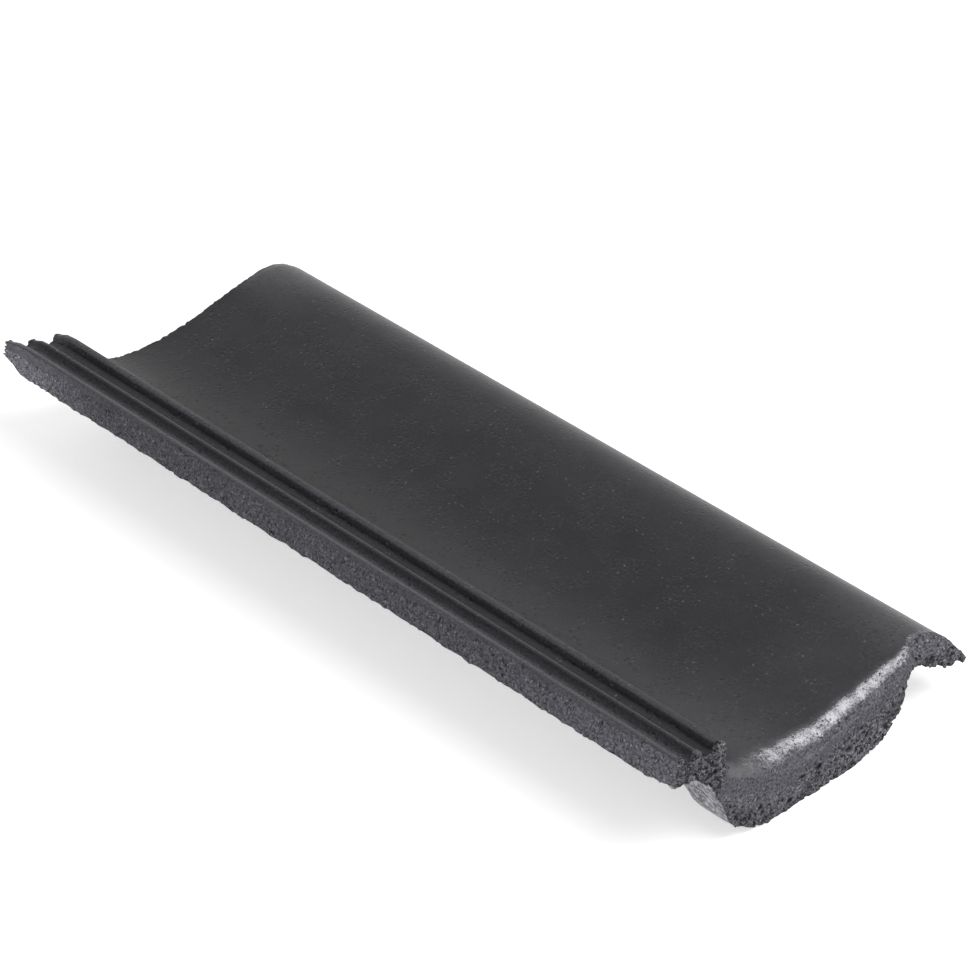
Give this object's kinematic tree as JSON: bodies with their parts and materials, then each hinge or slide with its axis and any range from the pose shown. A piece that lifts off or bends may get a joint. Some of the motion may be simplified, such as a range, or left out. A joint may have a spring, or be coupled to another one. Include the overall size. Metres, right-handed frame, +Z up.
{
  "type": "roof tile",
  "caption": "Narrow double-S concrete roof tile with a valley, a roll, a ribbed water lock, a cover lip, a thick foot and a weather bar under the nose, and a nib at the head.",
  "frame": {"origin": "on the floor under the middle of the tile's box, with the tile lying unheld on the sole of its foot and on its nib", "axes": "+Y from the nose to the head end, +X from the water lock to the cover lip, +Z up from the floor"},
  "size_m": [0.1808, 0.42, 0.0612],
  "materials": {
    "concrete": "satin coated top over rough cast concrete"
  },
  "bodies": {
    "root": {"roof_tile": "concrete"}
  },
  "joints": []
}
